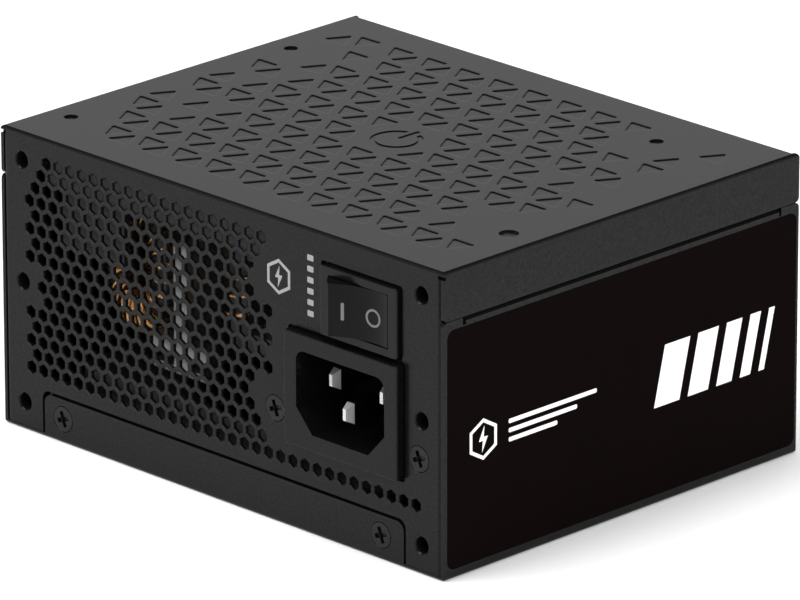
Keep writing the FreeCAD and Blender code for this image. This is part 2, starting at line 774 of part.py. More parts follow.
def fan_coils():
    coils = []
    for i in range(4):
        coil = rect_xy(7.3, 13.0, -4.2, 4.2, 5.2, 12.6, 1.0).cut(box(7, 14, -2.2, 2.2, 6.8, 11.2))
        coil = coil.cut([rod((0, 0, 5), Z_AXIS, 9, 7.2)])
        coil.rotate(Vector(0, 0, 0), Z_AXIS, 90 * i)
        coils.append(coil)
    return coils


def make_fan():
    save("fan_frame", fan_frame())
    save("fan_mount", fan_mount())
    save("fan_rotor", fan_rotor())
    save("fan_magnet", tube((0, 0, 5), Z_AXIS, 8, hub_radius - 1.5, 16.3))
    save("fan_shaft", rod((0, 0, hub_low + 0.9), Z_AXIS, 11.2, shaft_radius))
    save("fan_bearing", tube((0, 0, 5.2), Z_AXIS, 9.4, 3.05, shaft_radius + 0.03))
    save("fan_stator", fan_stator())
    save("fan_coils", *fan_coils())
    save("fan_circuit_board", tube((0, 0, 12.9), Z_AXIS, 1.0, 14.8, 4.2))


# ---------------------------------------------------------------- boards

def main_pcb():
    board = box(-board_side, board_side, -45.5, 40, board_low, board_high)
    cuts = [box(13.5, 70, -60, -28.8, 50, 60)]
    cuts += [rod((x, y, 50), Z_AXIS, 10, 1.7) for x, y, _ in standoffs]
    return board.cut(cuts)


def standoff(x, y):
    corners = []
    for i in range(6):
        angle = math.radians(60 * i)
        corners.append(Vector(x + 3.1 * math.cos(angle), y + 3.1 * math.sin(angle), board_high))
    post = prism(corners, Vector(0, 0, top_under - board_high))
    return post.cut(rod((x, y, 50), Z_AXIS, 20, tap_radius))


def toroid(centre, radius, hole, half_thickness):
    """Ring whose axis lies along Y, with softened edges."""
    x, y, z = centre
    ring = tube((x, y - half_thickness, z), Y_AXIS, 2 * half_thickness, radius, hole)
    return ring.makeFillet(0.8, edges_in_plane(ring, "y", y - half_thickness)
                           + edges_in_plane(ring, "y", y + half_thickness))


def pfc_choke():
    """Upright toroid, its right edge turned towards the vent, and the plate that holds it."""
    x, y, z = choke_centre
    core = toroid(choke_centre, core_radius, core_hole, core_half)
    winding = toroid(choke_centre, choke_radius, choke_hole, choke_half)
    winding = winding.cut(tube((x, y - core_half, z), Y_AXIS, 2 * core_half, core_radius, core_hole))
    for ring in (core, winding):
        ring.rotate(Vector(*choke_centre), Z_AXIS, choke_turn)
    plate = rect_xy(-47.8, -29.8, -47.2, -45.3, 40.5, 52.8, 0.3)
    return core, winding, plate


def primary_heatsink():
    """Upright plate with two cross bars below, notched near the rear panel."""
    plate = box(-15.8, -12.0, -47, 24, 22.1, board_low)
    bars = [box(-21.8, -6.2, -47, -44, 25.8, 29.2), box(-21.8, -6.2, -47, -44, 22.1, 23.6)]
    fins = [box(-18.2, -15.8, -20, 0, z, z + 1.2) for z in (28, 32, 36, 40)]
    return join([plate] + bars + fins).cut(box(-23, -5, -48, -42, 49.5, 60))


def packages_along_y(x0, x1, low, starts):
    """Row of flat transistor packages standing on a heatsink's face, each with three legs."""
    packages = []
    for y in starts:
        body = rect_xy(x0, x1, y, y + 10, low, low + 15, 0.4)
        middle = (x0 + x1) / 2
        legs = [box(middle - 0.3, middle + 0.3, y + 2.1 + 2.54 * i, y + 2.8 + 2.54 * i, low + 15, board_low)
                for i in range(3)]
        packages.append(join([body] + legs))
    return packages


def line_choke():
    """Upright closed ferrite frame of the common-mode choke, and its two coils."""
    x, y = line_choke_x, line_choke_y
    frame = box(x - 9.5, x + 9.5, y - 3.2, y + 3.2, 28, board_low)
    core = frame.cut(box(x - 4.8, x + 4.8, y - 4, y + 4, line_coil_low - 0.3, line_coil_high + 0.3))
    coils = []
    for way in (-1, 1):
        centre = x + way * 7.15
        coil = rect_xy(centre - 4.2, centre + 4.2, y - 5.4, y + 5.4, line_coil_low, line_coil_high, 1.5)
        coils.append(coil.cut(box(centre - 2.36, centre + 2.36, y - 3.21, y + 3.21, 30, 50)))
    return core, coils


def can(x, y, radius, low, high=board_low):
    """Upright capacitor with a rounded foot and a groove near the board."""
    body = rod((x, y, low), Z_AXIS, high - low, radius)
    body = body.makeFillet(min(0.8, radius / 4), edges_in_plane(body, "z", low))
    groove = tube((x, y, high - 3), Z_AXIS, 0.8, radius + 1, radius - 0.4)
    return body.cut(groove)


def transformer():
    x, y = 7.5, 4.0
    low = 24.0
    core = box(x - 17, x + 17, y - 6, y + 6, low + 2, low + 28)
    windows = [box(x + way * 5.5, x + way * 12.5, y - 7, y + 7, low + 6.5, low + 23.5) for way in (-1, 1)]
    core = core.cut(windows)
    inner = box(x - 5.5, x + 5.5, y - 6, y + 6, low, low + 40)
    spool = box(x - 6.7, x + 6.7, y - 7.2, y + 7.2, low + 6.6, low + 23.4)
    cheeks = [rect_xy(x - 12.3, x + 12.3, y - 13, y + 13, z, z + 1.2, 1) for z in (low + 6.6, low + 22.2)]
    bobbin = join([spool] + cheeks).cut(inner)
    feet = [box(x - 12.3, x + 12.3, y + way * 6.4, y + way * 13, low + 23.4, board_low) for way in (-1, 1)]
    bobbin = join([bobbin] + feet)
    winding = rect_xy(x - 12.0, x + 12.0, y - 12.6, y + 12.6, low + 7.8, low + 22.2, 2)
    winding = winding.cut(box(x - 6.7, x + 6.7, y - 7.2, y + 7.2, low, low + 40))
    return core, bobbin, winding


def standby_transformer(x, y):
    core = box(x - 9, x + 9, y - 8, y + 8, 38, 51)
    coil = rect_xy(x - 6.5, x + 6.5, y - 9.8, y + 9.8, 40, 49, 2)
    feet = box(x - 8.5, x + 8.5, y - 7.5, y + 7.5, 51, board_low)
    return join([core, coil, feet])


def secondary_heatsink():
    plate = box(31.0, 33.4, -6, 30, 22, board_low)
    fins = [box(33.4, 38.0, -6, 30, z, z + 1.4) for z in (24, 29, 34)]
    return join([plate] + fins)


def modular_pcb():
    """Upright board behind the sockets, notched for the nearest board screw."""
    board = box(-59, 59, socket_board, socket_board + 1.6, 17.5, board_low)
    screw_x = standoffs[2][0]
    return board.cut(box(screw_x - 3.5, screw_x + 3.5, 30, 40, 52.5, 60))


def output_cans():
    return [can(44.5 + 9.0 * column, 0.0 + 9.2 * row, 4.0, 42.0) for column in range(2) for row in range(4)]


def dc_dc_chokes():
    return [rect_xy(x, x + 9, y, y + 9, 47.5, board_low, 0.8) for x, y in ((-8.0, 24), (3.0, 24), (14.0, 24))]


def make_boards():
    save("main_pcb", main_pcb())
    save("pcb_standoffs", *[standoff(x, y) for x, y, _ in standoffs])
    save("pcb_screws", *[pan_screw((x, y, board_low), Z_AXIS, 6) for x, y, _ in standoffs])
    core, winding, plate = pfc_choke()
    save("pfc_choke_core", core)
    save("pfc_choke_winding", winding)
    save("pfc_choke_base", plate)
    save("primary_heatsink", primary_heatsink())
    save("primary_transistors", *packages_along_y(-12.0, -7.6, 25.4, (-27, -15, 11)))
    save("bridge_rectifier", *packages_along_y(-19.4, -15.8, 26, (4,)))
    core, coils = line_choke()
    save("cm_choke_core", core)
    save("cm_choke_windings", *coils)
    save("x_capacitor", rect_xy(-8.5, 10.0, -27.5, -19.5, 41, board_low, 0.8))
    save("y_capacitors", *[rod((x, -15.5, 50), Y_AXIS, 3.2, 4) for x in (18, 28)])
    save("fuse", rod((12.5, -20.5, 51.4), X_AXIS, 20, 2.6))
    save("bulk_capacitor", can(-44.5, -14, 12.5, 19))
    core, bobbin, winding = transformer()
    save("transformer_core", core)
    save("transformer_bobbin", bobbin)
    save("transformer_winding", winding)
    save("standby_transformer", standby_transformer(-43, 14.5))
    save("secondary_heatsink", secondary_heatsink())
    save("output_rectifiers", *packages_along_y(26.6, 31.0, 26, (-4, 8, 19)))
    save("output_capacitors", *output_cans())
    save("dc_dc_board", box(-10, 24, 21.6, 22.8, 38, board_low))
    save("dc_dc_chokes", *dc_dc_chokes())
    save("modular_pcb", modular_pcb())
    bars = [box(x, x + 7, socket_board - 1.6, socket_board, 40, board_low) for x in (-30, -15, 46)]
    save("output_busbars", *bars)


# ---------------------------------------------------------------- output sockets

def cell_places(x, z, columns):
    for column in range(columns):
        for level in (-0.5, 0.5):
            yield x + (column - (columns - 1) / 2) * cell, z + level * cell


def output_socket(x, z, columns):
    """Header housing with one square cell for each contact and a latch ramp on top."""
    wide, high = socket_size(columns)
    back = socket_board + 1.6
    body = rect_xz(x - wide / 2, x + wide / 2, back, socket_face, z - high / 2, z + high / 2, 0.4)
    ramp = box(x - latch_half, x + latch_half, back + 6, socket_face - 1.2, z + high / 2, z + high / 2 + 1.2)
    cells = [box(cx - 1.75, cx + 1.75, back + 2.5, socket_face + 1, cz - 1.75, cz + 1.75)
             for cx, cz in cell_places(x, z, columns)]
    return body.fuse(ramp).cut(cells)


def make_sockets():
    housings = {"motherboard": [], "power": [], "peripheral": []}
    contacts = []
    back = socket_board + 1.6
    for x, z, columns, kind in socket_layout():
        housings[kind].append(output_socket(x, z, columns))
        contacts += [box(cx - 0.53, cx + 0.53, back + 2.5, socket_face - 3.0, cz - 0.53, cz + 0.53)
                     for cx, cz in cell_places(x, z, columns)]
    for kind, solids in housings.items():
        save(kind + "_sockets", *solids)
    save("socket_contacts", *contacts)


# ---------------------------------------------------------------- inner wires

def make_wires():
    left_terminal, right_terminal = terminal_places()
    (line_x, line_z, _), (neutral_x, neutral_z, _), (earth_x, earth_z, _) = pin_places()
    inlet_to_switch = wire_run([(line_x, tab_end, line_z), (line_x, -14.5, line_z),
                                (left_terminal, -14.5, switch_z), (left_terminal, terminal_end, switch_z)], 0.9)
    switch_to_board = wire_run([(right_terminal, terminal_end, switch_z), (right_terminal, -18, switch_z),
                                (right_terminal, -18, board_low)], 0.9)
    save("live_wires", inlet_to_switch, switch_to_board)
    save("neutral_wire", wire_run([(neutral_x, tab_end, neutral_z), (neutral_x, -11, neutral_z),
                                   (neutral_x, -11, board_low)], 0.9))
    save("earth_wire", wire_run([(earth_x, tab_end, earth_z), (earth_x, -10.5, earth_z),
                                 (earth_x, -10.5, board_low)], 1.0))
    save("fan_lead", wire_run([(-38, 33, fan_top), (-38, 33, 26), (-53.5, 33, 36), (-53.5, 33, 48)], 1.1))
    save("fan_connector", rect_xy(-57.5, -49.5, 30, 35.5, 48, board_low, 0.5))


os.makedirs("parts", exist_ok=True)
make_case()
make_inlet_and_switch()
make_fan()
make_boards()
make_sockets()
make_wires()
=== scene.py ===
import json
import math

import bpy
from mathutils import Matrix, Vector


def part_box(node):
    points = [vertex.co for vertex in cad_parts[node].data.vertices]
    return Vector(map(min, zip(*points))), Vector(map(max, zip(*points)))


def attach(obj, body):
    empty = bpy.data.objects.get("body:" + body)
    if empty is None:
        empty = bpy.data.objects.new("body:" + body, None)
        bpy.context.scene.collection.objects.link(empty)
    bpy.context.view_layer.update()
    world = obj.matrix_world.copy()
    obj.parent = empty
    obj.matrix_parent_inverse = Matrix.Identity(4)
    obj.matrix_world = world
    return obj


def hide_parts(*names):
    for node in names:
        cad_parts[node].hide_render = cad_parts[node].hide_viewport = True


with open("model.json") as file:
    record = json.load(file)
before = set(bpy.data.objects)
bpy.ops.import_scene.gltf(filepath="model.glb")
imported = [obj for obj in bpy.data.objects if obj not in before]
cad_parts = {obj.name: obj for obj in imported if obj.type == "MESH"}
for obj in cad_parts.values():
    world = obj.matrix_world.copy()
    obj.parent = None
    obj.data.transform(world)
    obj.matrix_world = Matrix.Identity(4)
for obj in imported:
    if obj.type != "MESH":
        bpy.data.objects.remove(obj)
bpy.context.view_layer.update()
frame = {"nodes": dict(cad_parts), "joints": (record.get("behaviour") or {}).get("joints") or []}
NODES = frame["nodes"]
MM = 0.001

# ---------------------------------------------------------------- camera, floor and light

CAMERA_AZIMUTH = math.radians(45.168)
CAMERA_ELEVATION = math.radians(19.894)
CAMERA_ROLL = math.radians(-0.095)
CAMERA_DISTANCE = 1.90386
CAMERA_OFFSET = Vector((0.000283, -0.002267, 0.0))   # seen from the camera: right, up
LENS = 428.0

LIGHT_TARGET = Vector((0, 0, 0.03))
LIGHTS = (   # name, place, size, energy
    ("overhead", (-0.2, 0.1, 2.4), 1.6, 42),
    ("left_front", (-0.6, -1.3, 1.9), 1.4, 34),
    ("right_front", (1.9, -0.7, 1.4), 1.6, 34),
)
FLOOR_REACH = 12.0


def make_camera():
    a, e = CAMERA_AZIMUTH, CAMERA_ELEVATION
    back = Vector((math.sin(a) * math.cos(e), -math.cos(a) * math.cos(e), math.sin(e)))
    right = Vector((math.cos(a), math.sin(a), 0))
    up = back.cross(right)
    middle = Vector((0, 0, (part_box("fan_cover")[0].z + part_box("chassis_tray")[1].z) / 2))
    place = middle + right * CAMERA_OFFSET.x + up * CAMERA_OFFSET.y + back * CAMERA_DISTANCE
    turn = Matrix((right, up, back)).transposed().to_4x4() @ Matrix.Rotation(CAMERA_ROLL, 4, "Z")
    camera = bpy.data.objects.new("camera", bpy.data.cameras.new("camera"))
    camera.matrix_world = Matrix.Translation(place) @ turn
    camera.data.lens = LENS
    camera.data.sensor_width = 36.0
    camera.data.clip_start = 0.1
    camera.data.clip_end = 50.0
    bpy.context.scene.collection.objects.link(camera)
    bpy.context.scene.camera = camera


def area_light(name, place, size, energy):
    light = bpy.data.lights.new(name, "AREA")
    light.shape = "SQUARE"
    light.size = size
    light.energy = energy
    lamp = bpy.data.objects.new(name, light)
    aim = LIGHT_TARGET - Vector(place)
    lamp.rotation_euler = aim.to_track_quat("-Z", "Y").to_euler()
    lamp.location = place
    bpy.context.scene.collection.objects.link(lamp)


def make_studio():
    world = bpy.data.worlds.new("studio")
    world.use_nodes = True
    tree = world.node_tree
    way = tree.nodes.new("ShaderNodeTexCoord")
    parts = tree.nodes.new("ShaderNodeSeparateXYZ")
    tree.links.new(way.outputs["Generated"], parts.inputs["Vector"])
    sky = ramp(tree, parts.outputs["Z"], 0.43, 0.56, (0.88, 0.88, 0.88), (0.02, 0.02, 0.02))
    tree.links.new(sky, tree.nodes["Background"].inputs["Color"])
    tree.nodes["Background"].inputs["Strength"].default_value = 1.0
    bpy.context.scene.world = world
    bpy.context.scene.view_settings.view_transform = "Standard"
    for light in LIGHTS:
        area_light(*light)


def make_floor():
    floor_mesh = bpy.data.meshes.new("floor")
    corners = [(x * FLOOR_REACH, y * FLOOR_REACH, 0) for x, y in ((-1, -1), (1, -1), (1, 1), (-1, 1))]
    floor_mesh.from_pydata(corners, [], [(0, 1, 2, 3)])
    floor = bpy.data.objects.new("floor", floor_mesh)
    floor.data.materials.append(surface("pale_floor", (0.9, 0.9, 0.9), 0.9, specular=0.0, mottle=0.01,
                                        mottle_scale=6))
    bpy.context.scene.collection.objects.link(floor)


# ---------------------------------------------------------------- materials

def add_node(tree, kind, **settings):
    node = tree.nodes.new(kind)
    for key, value in settings.items():
        setattr(node, key, value)
    return node


def own_position(tree):
    """Position in the piece's own coordinates, in metres."""
    return add_node(tree, "ShaderNodeTexCoord").outputs["Object"]


def noise(tree, scale, detail=3.0, stretch=(1, 1, 1)):
    """Noise over the piece's own position; returns its Fac socket."""
    stretched = add_node(tree, "ShaderNodeMapping")
    stretched.inputs["Scale"].default_value = stretch
    tree.links.new(own_position(tree), stretched.inputs["Vector"])
    texture = add_node(tree, "ShaderNodeTexNoise")
    texture.inputs["Scale"].default_value = scale
    texture.inputs["Detail"].default_value = detail
    tree.links.new(stretched.outputs["Vector"], texture.inputs["Vector"])
    return texture.outputs["Fac"]


def ramp(tree, factor, low, high, dark, light):
    """Colour ramp from dark to light while the factor goes from low to high."""
    node = add_node(tree, "ShaderNodeValToRGB")
    node.color_ramp.elements[0].position = low
    node.color_ramp.elements[1].position = high
    node.color_ramp.elements[0].color = (*dark, 1)
    node.color_ramp.elements[1].color = (*light, 1)
    tree.links.new(factor, node.inputs["Fac"])
    return node.outputs["Color"]


def shade(colour, share):
    return tuple(min(1.0, channel * share) for channel in colour)


def surface(name, colour, roughness, metallic=0.0, specular=0.5, mottle=0.08, mottle_scale=60,
            grain=0.0, grain_scale=2500, rough_spread=0.06, stretch=(1, 1, 1), coat=0.0):
    """Principled material whose colour and roughness vary, with a fine grain as bump (grain in mm)."""
    material = bpy.data.materials.new(name)
    material.use_nodes = True
    tree = material.node_tree
    shader = tree.nodes["Principled BSDF"]
    shader.inputs["Metallic"].default_value = metallic
    shader.inputs["Specular IOR Level"].default_value = specular
    shader.inputs["Coat Weight"].default_value = coat
    cloud = noise(tree, mottle_scale, stretch=stretch)
    tree.links.new(ramp(tree, cloud, 0.3, 0.7, shade(colour, 1 - mottle), shade(colour, 1 + mottle)),
                   shader.inputs["Base Color"])
    fine = noise(tree, grain_scale, detail=2.0, stretch=stretch)
    spread = add_node(tree, "ShaderNodeMapRange")
    spread.inputs["To Min"].default_value = max(0.02, roughness - rough_spread)
    spread.inputs["To Max"].default_value = min(1.0, roughness + rough_spread)
    tree.links.new(fine, spread.inputs["Value"])
    tree.links.new(spread.outputs["Result"], shader.inputs["Roughness"])
    if grain > 0:
        bump = add_node(tree, "ShaderNodeBump")
        bump.inputs["Strength"].default_value = 1.0
        bump.inputs["Distance"].default_value = grain * MM
        tree.links.new(fine, bump.inputs["Height"])
        tree.links.new(bump.outputs["Normal"], shader.inputs["Normal"])
    return material


def arithmetic(tree, operation, *values):
    """Math node; each value is a number or another node's output."""
    node = add_node(tree, "ShaderNodeMath", operation=operation)
    for socket, value in zip(node.inputs, values):
        if isinstance(value, (int, float)):
            socket.default_value = value
        else:
            tree.links.new(value, socket)
    return node.outputs["Value"]


def lay_over(material, factor, colour):
    """Covers the material's own colour with a second one where the factor is 1."""
    tree = material.node_tree
    target = tree.nodes["Principled BSDF"].inputs["Base Color"]
    mix = add_node(tree, "ShaderNodeMix", data_type="RGBA")
    mix.inputs["B"].default_value = (*colour, 1)
    tree.links.new(factor, mix.inputs["Factor"])
    tree.links.new(target.links[0].from_socket, mix.inputs["A"])
    tree.links.new(mix.outputs["Result"], target)


SPECK_SCALE = 1800
SPECK_CONTRAST = 1.1
# painted shade: ambient occlusion within this reach, raised to this power, darkens the gloss in recesses
PAINTED_SHADE_REACH = 1.2 * MM
PAINTED_SHADE_POWER = 3.5


def speckle_and_shade_upright_faces(material, level):
    """Glossy specks on upright faces, and painted shade: ambient occlusion darkens the gloss in recesses;
    level is the mean gloss and the top stays smooth.
    """
    tree = material.node_tree
    shader = tree.nodes["Principled BSDF"]
    bump = [node for node in tree.nodes if node.bl_idname == "ShaderNodeBump"][0]
    facing = add_node(tree, "ShaderNodeNewGeometry")
    parts = add_node(tree, "ShaderNodeSeparateXYZ")
    tree.links.new(facing.outputs["Normal"], parts.inputs["Vector"])
    strength = add_node(tree, "ShaderNodeMapRange")
    strength.inputs["From Min"].default_value = 0.2
    strength.inputs["From Max"].default_value = 0.8
    strength.inputs["To Min"].default_value = 1.0
    strength.inputs["To Max"].default_value = 0.1
    tree.links.new(parts.outputs["Z"], strength.inputs["Value"])
    upright = strength.outputs["Result"]
    tree.links.new(upright, bump.inputs["Strength"])
    specks = arithmetic(tree, "SUBTRACT", noise(tree, SPECK_SCALE, detail=1.0), 0.5)
    specks = arithmetic(tree, "MULTIPLY", specks, upright)
    gloss = arithmetic(tree, "MULTIPLY_ADD", specks, SPECK_CONTRAST * level, level)
    # Painted shade: ambient occlusion darkens the gloss in recesses, round holes and at debossed edges,
    # strongest on upright faces.
    painted_shade_ao = add_node(tree, "ShaderNodeAmbientOcclusion", samples=6, only_local=True)
    painted_shade_ao.inputs["Distance"].default_value = PAINTED_SHADE_REACH
    power = arithmetic(tree, "MULTIPLY", upright, PAINTED_SHADE_POWER)
    painted_shade = arithmetic(tree, "POWER", painted_shade_ao.outputs["AO"], power)
    tree.links.new(arithmetic(tree, "MULTIPLY", gloss, painted_shade), shader.inputs["Specular IOR Level"])


def dress(material, *names):
    """Gives CAD nodes this material."""
    for name in names:
        mesh = NODES[name].data
        mesh.materials.clear()
        mesh.materials.append(material)


def make_materials():
    m = {}
    m["case"] = surface("powder_coat", (0.0045, 0.0045, 0.0047), 0.24, mottle=0.05,
                        grain=0.02, grain_scale=2200, rough_spread=0.03)
    # fine grain specks, and painted shade in the recesses of the coat
    speckle_and_shade_upright_faces(m["case"], 0.14)
    m["film"] = surface("insulating_film", (0.012, 0.012, 0.012), 0.5, grain=0.01)
    m["label"] = surface("label_film", (0.0036, 0.0018, 0.0018), 0.6, specular=0.01, mottle=0.05)
    m["label_print"] = surface("label_print", (0.96, 0.96, 0.96), 0.6, specular=0.1, mottle=0.01)
    m["rear_print"] = surface("rear_print", (0.30, 0.30, 0.30), 0.6, specular=0.2, mottle=0.04)
    m["rocker_print"] = surface("rocker_print", (0.14, 0.14, 0.14), 0.5, specular=0.2, mottle=0.03)
    m["screw"] = surface("black_zinc", (0.010, 0.010, 0.0105), 0.26, metallic=0.5, specular=0.3,
                         mottle=0.2, mottle_scale=500, grain=0.01)
    m["inlet"] = surface("inlet_moulding", (0.003, 0.003, 0.0032), 0.27, specular=0.15, mottle=0.06,
                         grain=0.004, grain_scale=4000)
    m["nickel"] = surface("nickel_plate", (0.34, 0.34, 0.33), 0.3, metallic=1.0, mottle=0.04,
                          rough_spread=0.03)
    m["power_pin"] = pin_material("power_pin_blade", "power_pins")
    m["earth_pin"] = pin_material("earth_pin_blade", "earth_pin")
    m["switch"] = surface("switch_moulding", (0.003, 0.003, 0.0032), 0.25, specular=0.17, mottle=0.06,
                          grain=0.003, grain_scale=4000)
    m["rocker"] = surface("rocker_moulding", (0.003, 0.003, 0.0032), 0.2, specular=0.10, mottle=0.06,
                          grain=0.002, grain_scale=4000)
    m["fan"] = surface("fan_moulding", (0.014, 0.014, 0.0145), 0.45, specular=0.4, grain=0.006)
    m["rotor"] = surface("rotor_moulding", (0.012, 0.012, 0.0125), 0.36, specular=0.45, grain=0.003)
    m["magnet"] = surface("bonded_magnet", (0.06, 0.055, 0.05), 0.6, mottle=0.25, mottle_scale=1500,
                          grain=0.02)
    m["steel"] = surface("ground_steel", (0.55, 0.55, 0.56), 0.3, metallic=1.0, grain=0.004,
                         stretch=(1, 1, 0.1))
    m["laminations"] = surface("steel_laminations", (0.4, 0.4, 0.42), 0.4, metallic=1.0, mottle=0.3,
                               mottle_scale=400, stretch=(0.05, 0.05, 6), grain=0.01)
    m["bronze"] = surface("sintered_bronze", (0.45, 0.28, 0.12), 0.5, metallic=1.0, mottle=0.25,
                          mottle_scale=1800, grain=0.015)
    m["copper"] = surface("enamelled_copper", (0.66, 0.35, 0.13), 0.26, metallic=1.0, mottle=0.12,
                          mottle_scale=300, coat=0.6)
    m["busbar"] = surface("tinned_copper", (0.72, 0.5, 0.4), 0.35, metallic=1.0, mottle=0.15,
                          mottle_scale=200, grain=0.01)
    m["board"] = board_material()
    m["ferrite"] = surface("ferrite", (0.045, 0.045, 0.05), 0.55, mottle=0.15, mottle_scale=900,
                           grain=0.02, grain_scale=1500)
    m["heatsink"] = surface("extruded_aluminium", (0.30, 0.30, 0.305), 0.42, metallic=1.0, mottle=0.06,
                            grain=0.012, stretch=(1, 0.04, 1))
    m["black_part"] = surface("moulding_compound", (0.02, 0.02, 0.021), 0.5, mottle=0.1, grain=0.01)
    m["film_case"] = surface("film_capacitor_case", (0.5, 0.36, 0.03), 0.32, mottle=0.05, grain=0.004)
    m["disc"] = surface("disc_lacquer", (0.03, 0.12, 0.34), 0.25, grain=0.01, grain_scale=900, coat=0.5)
    m["ceramic"] = surface("fuse_ceramic", (0.72, 0.7, 0.62), 0.5, mottle=0.05, grain=0.01)
    m["sleeve"] = surface("shrink_sleeve", (0.035, 0.014, 0.006), 0.24, mottle=0.1, grain=0.006,
                          grain_scale=600, coat=0.3)
    m["can"] = surface("aluminium_can", (0.7, 0.7, 0.72), 0.25, metallic=1.0, mottle=0.05, grain=0.004)
    m["bobbin"] = surface("phenolic", (0.018, 0.017, 0.016), 0.42, mottle=0.1, grain=0.008)
    m["tape"] = surface("polyester_tape", (0.62, 0.42, 0.02), 0.22, mottle=0.12, mottle_scale=150,
                        stretch=(1, 1, 5), grain=0.02, grain_scale=500, coat=0.4)
    m["socket"] = surface("socket_nylon", (0.012, 0.012, 0.0125), 0.4, grain=0.006)
    m["brown"] = surface("brown_insulation", (0.12, 0.04, 0.02), 0.35, mottle=0.06, grain=0.01)
    m["blue"] = surface("blue_insulation", (0.02, 0.08, 0.35), 0.35, mottle=0.06, grain=0.01)
    m["earth"] = striped_wire()
    m["black"] = surface("black_sleeve", (0.015, 0.015, 0.015), 0.45, mottle=0.1, grain=0.02)
    m["nylon"] = surface("natural_nylon", (0.72, 0.7, 0.62), 0.4, mottle=0.04, grain=0.006)
    return m


def board_material():
    """Green solder mask with paler tracks on a square grid of blocks."""
    material = surface("solder_mask", (0.004, 0.012, 0.006), 0.3, mottle=0.1, grain=0.01, coat=0.3)
    tree = material.node_tree
    cells = add_node(tree, "ShaderNodeTexVoronoi", distance="MANHATTAN", feature="F1")
    cells.inputs["Scale"].default_value = 140
    tree.links.new(own_position(tree), cells.inputs["Vector"])
    tracks = ramp(tree, cells.outputs["Distance"], 0.30, 0.34, (0, 0, 0), (1, 1, 1))
    lay_over(material, tracks, (0.008, 0.024, 0.012))
    return material


PIN_TIP = 1.8 * MM     # bright length in front of the shoulder; past it the blade carries painted shade
PIN_BLEND = 0.1 * MM


def pin_material(name, node):
    """Nickel at the bevelled tip of an inlet pin, painted near black past its shoulder as painted shade from
    the inlet's cavity.
    """
    material = surface(name, (0.62, 0.62, 0.61), 0.36, metallic=0.7, mottle=0.04, rough_spread=0.03)
    tree = material.node_tree
    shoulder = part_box(node)[0].y + PIN_TIP
    parts = add_node(tree, "ShaderNodeSeparateXYZ")
    tree.links.new(own_position(tree), parts.inputs["Vector"])
    shaded_back = add_node(tree, "ShaderNodeMapRange")
    shaded_back.inputs["From Min"].default_value = shoulder
    shaded_back.inputs["From Max"].default_value = shoulder + PIN_BLEND
    tree.links.new(parts.outputs["Y"], shaded_back.inputs["Value"])
    # Painted shade: past the shoulder the blade is coloured near black for the shade deep in the inlet's
    # cavity.
    lay_over(material, shaded_back.outputs["Result"], (0.004, 0.004, 0.004))
    return material


def striped_wire():
    """Green insulation with a yellow stripe that winds round it."""
    material = surface("earth_insulation", (0.05, 0.3, 0.03), 0.35, mottle=0.05, grain=0.01)
    tree = material.node_tree
    bands = add_node(tree, "ShaderNodeTexWave", wave_type="BANDS", bands_direction="DIAGONAL")
    bands.inputs["Scale"].default_value = 60
    tree.links.new(own_position(tree), bands.inputs["Vector"])
    stripe = ramp(tree, bands.outputs["Fac"], 0.5, 0.55, (0, 0, 0), (1, 1, 1))
    lay_over(material, stripe, (0.8, 0.6, 0.02))
    return material


def dress_nodes(m):
    dress(m["case"], "chassis_tray", "fan_cover", "modular_panel")
    dress(m["film"], "insulation_sheet")
    dress(m["screw"], "rear_cover_screws", "front_panel_screws", "inlet_screws", "fan_screws")
    dress(m["inlet"], "inlet_housing")
    dress(m["power_pin"], "power_pins")
    dress(m["earth_pin"], "earth_pin")
    dress(m["nickel"], "switch_terminals", "socket_contacts")
    dress(m["switch"], "switch_housing")
    dress(m["rocker"], "switch_rocker")
    dress(m["fan"], "fan_frame", "fan_mount")
    dress(m["rotor"], "fan_rotor")
    dress(m["magnet"], "fan_magnet")
    dress(m["steel"], "fan_shaft", "pcb_standoffs", "pcb_screws")
    dress(m["laminations"], "fan_stator")
    dress(m["bronze"], "fan_bearing")
    dress(m["copper"], "fan_coils")
    dress(m["busbar"], "output_busbars")
    dress(m["board"], "main_pcb", "modular_pcb", "dc_dc_board", "fan_circuit_board")
    dress(m["ferrite"], "pfc_choke_core", "cm_choke_core", "transformer_core", "dc_dc_chokes")
    dress(m["heatsink"], "primary_heatsink", "secondary_heatsink")
    dress(m["black_part"], "pfc_choke_base", "primary_transistors", "bridge_rectifier", "output_rectifiers")
    dress(m["film_case"], "x_capacitor")
    dress(m["disc"], "y_capacitors")
    dress(m["ceramic"], "fuse")
    dress(m["sleeve"], "bulk_capacitor")
    dress(m["can"], "output_capacitors")
    dress(m["bobbin"], "transformer_bobbin")
    dress(m["tape"], "transformer_winding", "standby_transformer")
    dress(m["socket"], "motherboard_sockets", "power_sockets", "peripheral_sockets")
    dress(m["brown"], "live_wires")
    dress(m["blue"], "neutral_wire")
    dress(m["earth"], "earth_wire")
    dress(m["black"], "fan_lead")
    dress(m["nylon"], "fan_connector")


# ---------------------------------------------------------------- shapes

RIGHT_SIDE = Matrix(((0, 0, 1), (1, 0, 0), (0, 1, 0))).to_4x4()     # drawn x, y become +Y, +Z; front is +X
LEFT_SIDE = Matrix(((0, 0, -1), (-1, 0, 0), (0, 1, 0))).to_4x4()    # drawn x, y become -Y, +Z; front is -X
REAR_SIDE = Matrix(((1, 0, 0), (0, 0, -1), (0, 1, 0))).to_4x4()     # drawn x, y become +X, +Z; front is -Y


